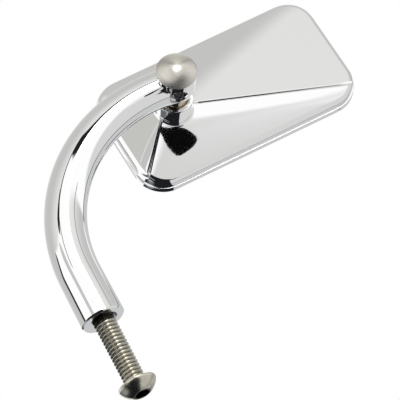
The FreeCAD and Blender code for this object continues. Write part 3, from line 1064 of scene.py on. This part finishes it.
def upright_ring(radius, z, sides=None):
    """Ring about the Z axis: round, or a polygon that has the radius as its apothem."""
    def place(ray):
        angle = math.tau * ray / HEAD_RAYS
        reach = radius
        if sides:
            reach /= math.cos(angle % (math.tau / sides) - math.pi / sides)
        return Vector((reach * math.cos(angle), reach * math.sin(angle), z))
    return place


def head_z(down):
    """Height of a point that lies a distance below the seat of the head."""
    return UNDER_HEAD - down


head_places = []
for less_cos, less_sin in small_round:
    radius = THREAD_MINOR + NECK_STEP + NECK_FLARE * less_cos
    head_places.append(upright_ring(radius, UNDER_HEAD + NECK_FLARE * less_sin))
head_places += [
    upright_ring(HEAD_RADIUS - HEAD_BREAK, UNDER_HEAD),
    upright_ring(HEAD_RADIUS - HEAD_BOW, head_z(HEAD_BOW)),
    upright_ring(HEAD_RADIUS, head_z(HEAD_BREAK)),
    upright_ring(HEAD_RADIUS, head_z(HEAD_EDGE - EDGE_LAND)),
]
edge_angle = math.atan2(HEAD_RADIUS, HEAD_EDGE - head_centre)
flat_angle = math.atan2(HEAD_FLAT, HEAD_HEIGHT - head_centre)
for step in range(1, HEAD_RINGS + 1):
    angle = edge_angle + (flat_angle - edge_angle) * step / HEAD_RINGS
    down = head_centre + head_crown * math.cos(angle)
    head_places.append(upright_ring(head_crown * math.sin(angle), head_z(down)))
socket_floor = HEAD_HEIGHT - SOCKET_DEPTH
head_places += [
    upright_ring(FLAT_RING, head_z(HEAD_HEIGHT)),
    upright_ring(SOCKET_MOUTH, head_z(HEAD_HEIGHT)),
    upright_ring(SOCKET_APOTHEM, head_z(HEAD_HEIGHT - HEAD_BREAK), HEXAGON),
    upright_ring(SOCKET_APOTHEM, head_z(socket_floor), HEXAGON),
]
head_bm = pull_rings(HEAD_RAYS, head_places, close_end=Vector((0, 0, head_z(socket_floor - SOCKET_CONE))))

# %% Screw in one skin
NEAR_CUT = 0.01 * MM
head_mesh = bpy.data.meshes.new("screw_head")
head_bm.to_mesh(head_mesh)
head_bm.free()
screw_bm.from_mesh(head_mesh)
bpy.data.meshes.remove(head_mesh)
open_low = [
    edge for edge in screw_bm.edges
    if len(edge.link_faces) == 1 and max(vert.co.z for vert in edge.verts) < THREAD_START + NEAR_CUT
]
bmesh.ops.bridge_loops(screw_bm, edges=open_low)
open_top = [edge for edge in screw_bm.edges if len(edge.link_faces) == 1]
bmesh.ops.holes_fill(screw_bm, edges=open_top)
finish_piece(
    screw_bm, "mounting_screw_threaded", "stem_body", "mounting_screw", screw_satin, 35.0
)

# %% [markdown]
# ## Grub screw
# The grub screw locks the post in the eye. It shows only its outer end: a chamfered face with a
# hexagon socket, a little below the mouth of its hole.

# %% Grub screw
GRUB_GAP = 0.3 * MM
GRUB_LENGTH = 2.9 * MM
GRUB_BODY = 3.12 * MM
GRUB_POINT = 0.5 * MM
GRUB_CHAMFER = 0.3 * MM
GRUB_APOTHEM = 1.59 * MM
GRUB_SOCKET_MOUTH = GRUB_APOTHEM * 1.2
GRUB_SOCKET_LEAD = 0.12 * MM
GRUB_SOCKET_DEPTH = 1.6 * MM
GRUB_SOCKET_END = 1.9 * MM
grub_tip = SHANK_RADIUS + GRUB_GAP
grub_end = grub_tip + GRUB_LENGTH
grub_places = [
    upright_ring(GRUB_BODY - GRUB_POINT, grub_tip),
    upright_ring(GRUB_BODY, grub_tip + GRUB_POINT),
    upright_ring(GRUB_BODY, grub_end - GRUB_CHAMFER),
    upright_ring(GRUB_BODY - GRUB_CHAMFER, grub_end),
    upright_ring(GRUB_SOCKET_MOUTH, grub_end),
    upright_ring(GRUB_APOTHEM, grub_end - GRUB_SOCKET_LEAD, HEXAGON),
    upright_ring(GRUB_APOTHEM, grub_end - GRUB_SOCKET_DEPTH, HEXAGON),
]
grub_closes = [Vector((0, 0, z)) for z in (grub_tip, grub_end - GRUB_SOCKET_END)]
grub_bm = pull_rings(HEAD_RAYS, grub_places, *grub_closes)
z_to_y = Matrix.Rotation(-quarter, 4, "X")
grub_bm.transform(to_grub @ z_to_y)
finish_piece(grub_bm, "grub_screw_socket", "stem_body", "grub_screw", grub_dark, 25.0)

# %% [markdown]
# ## Mirror glass
# The glass is a flat plate with silver on its back and a ground bevel round its front edge. The
# silver is what shows, so the plate is a bright mirror with a thin clear coat, and its edge is
# the green of plain glass.

# %% Mirror finish and glass edge
silver_values = {"Metallic": 1.0, "Base Color": (0.9, 0.92, 0.92), "Coat Weight": 0.5, "Coat Roughness": 0.0}
mirror_silver = grained("mirror_silver", silver_values, (0.0, 0.012), scale=60.0)
edge_values = {"Base Color": (0.52, 0.66, 0.6), "IOR": 1.52}
glass_edge = grained("glass_edge", edge_values, (0.12, 0.3), scale=4000.0)

# %% Mirror glass
GLASS_INSET = RIM_WALL + 0.25 * MM
GLASS_FRONT = RIM_FRONT - 0.4 * MM
GLASS_BACK = GLASS_FRONT - 2.0 * MM
GLASS_BEVEL = 0.4 * MM
FLAT_FACING = 0.9
glass_places = [
    rim_ring(GLASS_INSET, GLASS_BACK),
    rim_ring(GLASS_INSET, GLASS_FRONT - GLASS_BEVEL),
    rim_ring(GLASS_INSET + GLASS_BEVEL, GLASS_FRONT),
]
glass_closes = [Vector((HEAD_OFFSET, y, 0)) for y in (GLASS_BACK, GLASS_FRONT)]
glass_bm = pull_rings(HOUSING_LINES, glass_places, *glass_closes)
glass_bm.transform(to_head)
glass = finish_piece(
    glass_bm, "mirror_glass_plate", "head", "mirror_glass", mirror_silver, 20.0
)
glass.data.materials.append(glass_edge)
edge_faces = [face for face in glass.data.polygons if abs(face.normal.y) < FLAT_FACING]
for face in edge_faces:
    face.material_index = 1
print("glass edge faces:", len(edge_faces))

# %% [markdown]
# ## Finishes of the pieces inside
# The seats, the springs, the plug and the foam pad keep their CAD solids, because little of them
# shows and their shapes are right. Each still gets a finish of its own.

# %% Finishes of the pieces inside


def moulded_plastic(name):
    """Moulded white plastic with a fine even grain."""
    return grained(name, {"Base Color": (0.75, 0.75, 0.72)}, (0.35, 0.5), scale=1500.0, detail=3.0)


def foam_pad(name):
    """Closed-cell foam tape."""
    black = {"Base Color": (0.035, 0.035, 0.035)}
    return grained(name, black, (0.75, 0.95), scale=2500.0, detail=4.0, bump=(0.5, 0.2 * MM))


inner_finishes = {
    "ball_seat_ring": moulded_plastic("seat_white"),
    "ball_seat_cup": moulded_plastic("seat_white_cup"),
    "disc_springs": satin_stainless("spring_steel", (0.45, 0.45, 0.46), (0.3, 0.3, 0.32), (0.25, 0.4)),
    "retaining_plug": satin_stainless("plug_zinc", (0.55, 0.56, 0.6), (0.42, 0.43, 0.46), (0.3, 0.5)),
    "glass_pad": foam_pad("pad_foam"),
}
for node, finish in inner_finishes.items():
    nodes[node].data.materials.clear()
    nodes[node].data.materials.append(finish)
print("finished in place:", ", ".join(inner_finishes))

# %% [markdown]
# ## The studio as a flat chart
# Chrome is a picture of its studio, so the studio is drawn with care. Every direction from the
# mirror is laid out on one flat round chart, like a map of the sky: the camera is in the middle,
# up is up, and the edge of the chart lies behind the mirror. On that chart the studio's walls
# and seams are plain patches and lines, painted one over another. The world is plain white to
# the camera, and only what reflects shows the chart.

# %% Chart of directions
NEVER_ZERO = 2.0001
world = bpy.data.worlds.new("studio")
bpy.context.scene.world = world
world.use_nodes = True
tent = world.node_tree
direction = add_node(tent, "ShaderNodeTexCoord").outputs["Generated"]


def along(axis):
    """How far the ray's direction goes along an axis, from -1 to 1."""
    return vector_node(tent, "DOT_PRODUCT", direction, axis).outputs["Value"]


stretch = math_node(tent, "SQRT", math_node(tent, "MULTIPLY_ADD", along(CAMERA_BACK), 2.0, NEVER_ZERO))
chart_x = math_node(tent, "DIVIDE", along(CAMERA_RIGHT), stretch)
chart_y = math_node(tent, "DIVIDE", along(CAMERA_UP), stretch)
chart = add_node(tent, "ShaderNodeCombineXYZ", {"X": chart_x, "Y": chart_y}).outputs["Vector"]

# %% Patches and lines on the chart


def rise(value, low, high):
    """Smooth 0 to 1 as a value goes from low to high."""
    return smooth_rise(tent, value, low, high)


def fall(value, low, high):
    """Smooth 1 to 0 as a value goes from low to high."""
    return math_node(tent, "SUBTRACT", 1.0, rise(value, low, high))


def both(first, second):
    """Where two patches overlap."""
    return math_node(tent, "MULTIPLY", first, second)


def either(first, second):
    """Where at least one of two patches is."""
    return math_node(tent, "MAXIMUM", first, second)


def distance_to(point):
    """Distance on the chart from a point."""
    return vector_node(tent, "DISTANCE", chart, (*point, 0)).outputs["Value"]


def disc(centre, inner, outer):
    """A round patch that fades from an inner to an outer radius."""
    return fall(distance_to(centre), inner, outer)


def line_patch(start, end, half_width, soft):
    """A straight line on the chart, with round soft ends."""
    run = Vector((*end, 0)) - Vector((*start, 0))
    off = vector_node(tent, "SUBTRACT", chart, (*start, 0)).outputs["Vector"]
    share = vector_node(tent, "DOT_PRODUCT", off, run / run.length_squared).outputs["Value"]
    share = math_node(tent, "MINIMUM", math_node(tent, "MAXIMUM", share, 0.0), 1.0)
    foot = vector_node(tent, "MULTIPLY", run, share).outputs["Vector"]
    gap = vector_node(tent, "DISTANCE", off, foot).outputs["Value"]
    return fall(gap, half_width, half_width + soft)


def right_of(start, end, soft):
    """The half of the chart to the right of a line, seen along it."""
    run = Vector(end) - Vector(start)
    outward = Vector((run.y, -run.x, 0)).normalized()
    off = vector_node(tent, "SUBTRACT", chart, (*start, 0)).outputs["Vector"]
    return rise(vector_node(tent, "DOT_PRODUCT", off, outward).outputs["Value"], -soft, soft)


def paint_all(under, patches):
    """Lays the tint of each patch, one after another, over a colour."""
    for patch, tint in patches:
        under = mix_colours(tent, patch, under, tint)
    return under


# %% [markdown]
# ## Walls, table and dark room
# The tent is white near the camera and falls to a warm grey over the top. To the right it is a
# little darker, and the table behind is bluish. Below the camera the tent is open to a dark room,
# with dusk at its left edge and a faint glow low down. Thin dark seams between the sheets give
# the polished metal its fine lines.

# %% Walls of the tent
CENTRE = (0.0, 0.0)
WHITE = (1.0, 1.0, 1.0)
RIGHT_GREY = (0.66, 0.66, 0.655)
RIGHT_GLOW = (0.84, 0.84, 0.84)
PANEL_GREY = (0.55, 0.552, 0.53)
WARM = (1.0, 0.998, 0.98)
CEILING_GREYS = ((0.44, 1.0), (0.52, 0.8), (0.6, 0.75), (0.72, 0.59), (0.8, 0.53), (0.93, 0.56), (1.0, 0.7))
EAVES_LEFT = (-0.757, 0.1)
EAVES_MIDDLE = (-0.173, 0.56)
EAVES_RIGHT = (0.06, 0.505)
ceiling_stops = [(radius, [grey * part for part in WARM]) for radius, grey in CEILING_GREYS]
ceiling_grey = colour_ramp(tent, distance_to(CENTRE), ceiling_stops)
left_ceiling = right_of(EAVES_MIDDLE, EAVES_LEFT, 0.012)
right_ceiling = right_of(EAVES_RIGHT, EAVES_MIDDLE, 0.02)
left_wall = right_of((-0.72, 0.1), (-0.8, -0.3), 0.01)
right_wall = both(fall(chart_y, 0.125, 0.21), rise(chart_x, 0.08, 0.22))
wall_patches = (
    (either(left_ceiling, right_ceiling), ceiling_grey),
    (left_wall, ceiling_grey),
    (right_wall, RIGHT_GREY),
    (disc((0.3, 0.13), 0.02, 0.065), RIGHT_GLOW),
    (disc((-0.44, 0.25), 0.066, 0.072), PANEL_GREY),
)
walls = paint_all(WHITE, wall_patches)

# %% Table and dark room
TABLE_CENTRE = (0.17, 0.167)
TABLE_BLUE = (0.56, 0.568, 0.575)
DUSK = (0.13, 0.135, 0.14)
ROOM_BLACK = (0.012, 0.013, 0.016)
ROOM_GLOW = (0.4, 0.42, 0.44)
ROOM_LEFT = (-0.62, -0.68)
ROOM_TOP = (0.0, 0.15)
ROOM_RIGHT = (0.28, 0.0)
ROOM_LOW = (0.36, -0.85)
ROOM_SOFT = 0.01
table_side = right_of((0.2, -0.62), (0.72, 0.68), 0.02)
from_table = distance_to(TABLE_CENTRE)
table = both(table_side, rise(from_table, 0.68, 0.69))
dusk = both(right_of((-0.75, -0.25), (-0.1, 0.2), 0.03), disc((-0.5, -0.2), 0.12, 0.22))
dark_room = both(right_of(ROOM_LEFT, ROOM_TOP, ROOM_SOFT), right_of(ROOM_TOP, ROOM_RIGHT, ROOM_SOFT))
dark_room = both(dark_room, right_of(ROOM_RIGHT, ROOM_LOW, ROOM_SOFT))
dark_room = either(dark_room, disc((0.297, -0.1), 0.028, 0.05))
dark_room = both(dark_room, disc(CENTRE, 0.925, 0.955))
glow = both(dark_room, disc((-0.36, -0.64), 0.06, 0.22))
room_patches = ((table, TABLE_BLUE), (dusk, DUSK), (dark_room, ROOM_BLACK), (glow, ROOM_GLOW))
room = paint_all(walls, room_patches)

# %% Seams
SEAM = (0.015, 0.015, 0.017)
PALE_SEAM = (0.22, 0.22, 0.22)
SEAM_LINES = (
    ((-0.386, 0.386), (-0.19, 0.56), 0.009, 0.008),
    ((-0.37, 0.4), (-0.29, 0.47), 0.018, 0.01),
    ((-0.173, 0.564), (0.06, 0.505), 0.013, 0.008),
    ((-0.15, 0.205), (0.03, 0.175), 0.028, 0.012),
    ((-0.3, 0.33), (-0.3, 0.46), 0.008, 0.006),
    ((-0.77, -0.13), (-0.72, 0.1), 0.014, 0.008),
    ((0.6, -0.675), (0.75, -0.5), 0.01, 0.014),
    ((0.75, -0.5), (0.85, -0.33), 0.006, 0.014),
)
horizon = both(rise(from_table, 0.662, 0.67), fall(from_table, 0.682, 0.69))
seam_patches = [(both(table_side, horizon), SEAM)]
seam_patches += [(line_patch((0.33, 0.62), (0.46, 0.38), 0.006, 0.01), PALE_SEAM)]
seam_patches += [(line_patch(*line), SEAM) for line in SEAM_LINES]
studio = paint_all(room, seam_patches)

# %% What each ray sees
SOFT_GREY = (0.85, 0.85, 0.85)
rays_seen = add_node(tent, "ShaderNodeLightPath").outputs
plain = either(rays_seen["Is Camera Ray"], rays_seen["Is Transmission Ray"])
shown = paint_all(SOFT_GREY, ((rays_seen["Is Glossy Ray"], studio), (plain, WHITE)))
feed(tent, tent.nodes["Background"], {"Color": shown, "Strength": 1.0})
print("studio chart has", len(tent.nodes), "nodes")

# %% Floor
FLOOR_Z = -0.70
FLOOR_HALF = 3.0
floor_bm = bmesh.new()
bmesh.ops.create_grid(floor_bm, x_segments=2, y_segments=2, size=FLOOR_HALF)
bmesh.ops.translate(floor_bm, verts=floor_bm.verts, vec=(0, 0, FLOOR_Z))
floor = loose_object(floor_bm, "floor")
floor.data.materials.append(new_material("floor_white", {"Base Color": (0.9, 0.9, 0.9), "Roughness": 0.8}))
floor.visible_glossy = False
floor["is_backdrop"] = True

# %% [markdown]
# ## A flag for the dark patch
# Photographers hang small black cards, called flags, where a bright part should show something
# dark. This one hangs in front of the lower facet, out of the camera's sight, so that the polished
# metal shows a dark patch beside the boss. The patch's corners were read in the photograph.
# The camera's ray through each corner is followed to the facet and on, as the facet bounces it.

# %% Flag
FLAG_DISTANCE = 300 * MM
PHOTO_SIZE = 400
SIGHT_STEPS = 12
PATCH_PIXELS = (
    (159, 126), (168, 128), (182, 127), (190, 131), (198, 138), (195, 145), (188, 151), (178, 157),
    (172, 152), (164, 141),
)
SLOPE_STEP = 0.05 * MM


def back_normal(point):
    """Outward normal of the back over a point of the plan."""
    step_x = Vector((SLOPE_STEP, 0, 0))
    step_z = Vector((0, 0, SLOPE_STEP))
    slope_x = (back_height(point + step_x) - back_height(point - step_x)) / (2 * SLOPE_STEP)
    slope_z = (back_height(point + step_z) - back_height(point - step_z)) / (2 * SLOPE_STEP)
    return Vector((slope_x, -1, slope_z)).normalized()


def seen_on_back(pixel):
    """Point of the back, in the head's own frame, that the camera shows at a pixel of the photo."""
    across = (pixel[0] / PHOTO_SIZE - 0.5) * SENSOR_MM / LENS_MM
    upward = (0.5 - pixel[1] / PHOTO_SIZE) * SENSOR_MM / LENS_MM
    from_world = to_head.inverted()
    ray = from_world.to_3x3() @ (CAMERA_RIGHT * across + CAMERA_UP * upward - CAMERA_BACK)
    point = from_world @ CAMERA_PLACE
    point += ray * ((APEX_Y - point.y) / ray.y)
    for _ in range(SIGHT_STEPS):
        point += ray * ((back_height(point) - point.y) / ray.y)
    return point


def soft_corners(points):
    """The same outline with each corner cut, so that it looks rounder."""
    rounder = []
    for first, second in zip(points, points[1:] + points[:1]):
        rounder += [first.lerp(second, 0.25), first.lerp(second, 0.75)]
    return rounder


flag_points = soft_corners([seen_on_back(pixel) for pixel in PATCH_PIXELS])
flag_bm = bmesh.new()
flag_verts = []
for spot in flag_points:
    normal = to_head.to_3x3() @ back_normal(spot)
    spot.y = back_height(spot)
    place = to_head @ spot
    bounced = (place - CAMERA_PLACE).normalized().reflect(normal)
    flag_verts.append(flag_bm.verts.new(place + bounced * FLAG_DISTANCE))
flag_bm.faces.new(flag_verts)
flag = loose_object(flag_bm, "flag")
flag_values = {"Base Color": (0.004, 0.004, 0.004), "Specular IOR Level": 0.0}
flag.data.materials.append(new_material("flag_black", flag_values))
flag.visible_camera = False
flag.visible_diffuse = False
flag.visible_shadow = False
flag.visible_transmission = False
flag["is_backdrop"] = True

# %% Lamp
LAMP_SIZE = 0.68
LAMP_POWER = 4.7
LAMP_RIGHT = 0.13
LAMP_UP = 1.1
LAMP_BACK = 0.95
lamp_data = bpy.data.lights.new("soft_lamp", "AREA")
lamp_data.shape = "DISK"
lamp_data.size = LAMP_SIZE
lamp_data.energy = LAMP_POWER
lamp = bpy.data.objects.new("soft_lamp", lamp_data)
lamp_place = CAMERA_RIGHT * LAMP_RIGHT + CAMERA_UP * LAMP_UP + CAMERA_BACK * LAMP_BACK
lamp_turn = (-lamp_place).to_track_quat("-Z", "Y").to_matrix().to_4x4()
lamp.matrix_world = Matrix.Translation(lamp_place) @ lamp_turn
bpy.context.scene.collection.objects.link(lamp)
bpy.context.scene.view_settings.view_transform = "Standard"

# %% [markdown]
# ## Sizes and the end
# Both boxes, the CAD model's and the dressed model's, are printed in millimetres. The dressed
# model has to stay inside the CAD model's box.

# %% Sizes
visual_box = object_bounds()
boxes = {"cad": [list(corner) for corner in cad_box], "visual": [list(corner) for corner in visual_box]}
for kind, box in boxes.items():
    print(kind, "box in mm:", [round(v / MM, 1) for corner in box for v in corner])
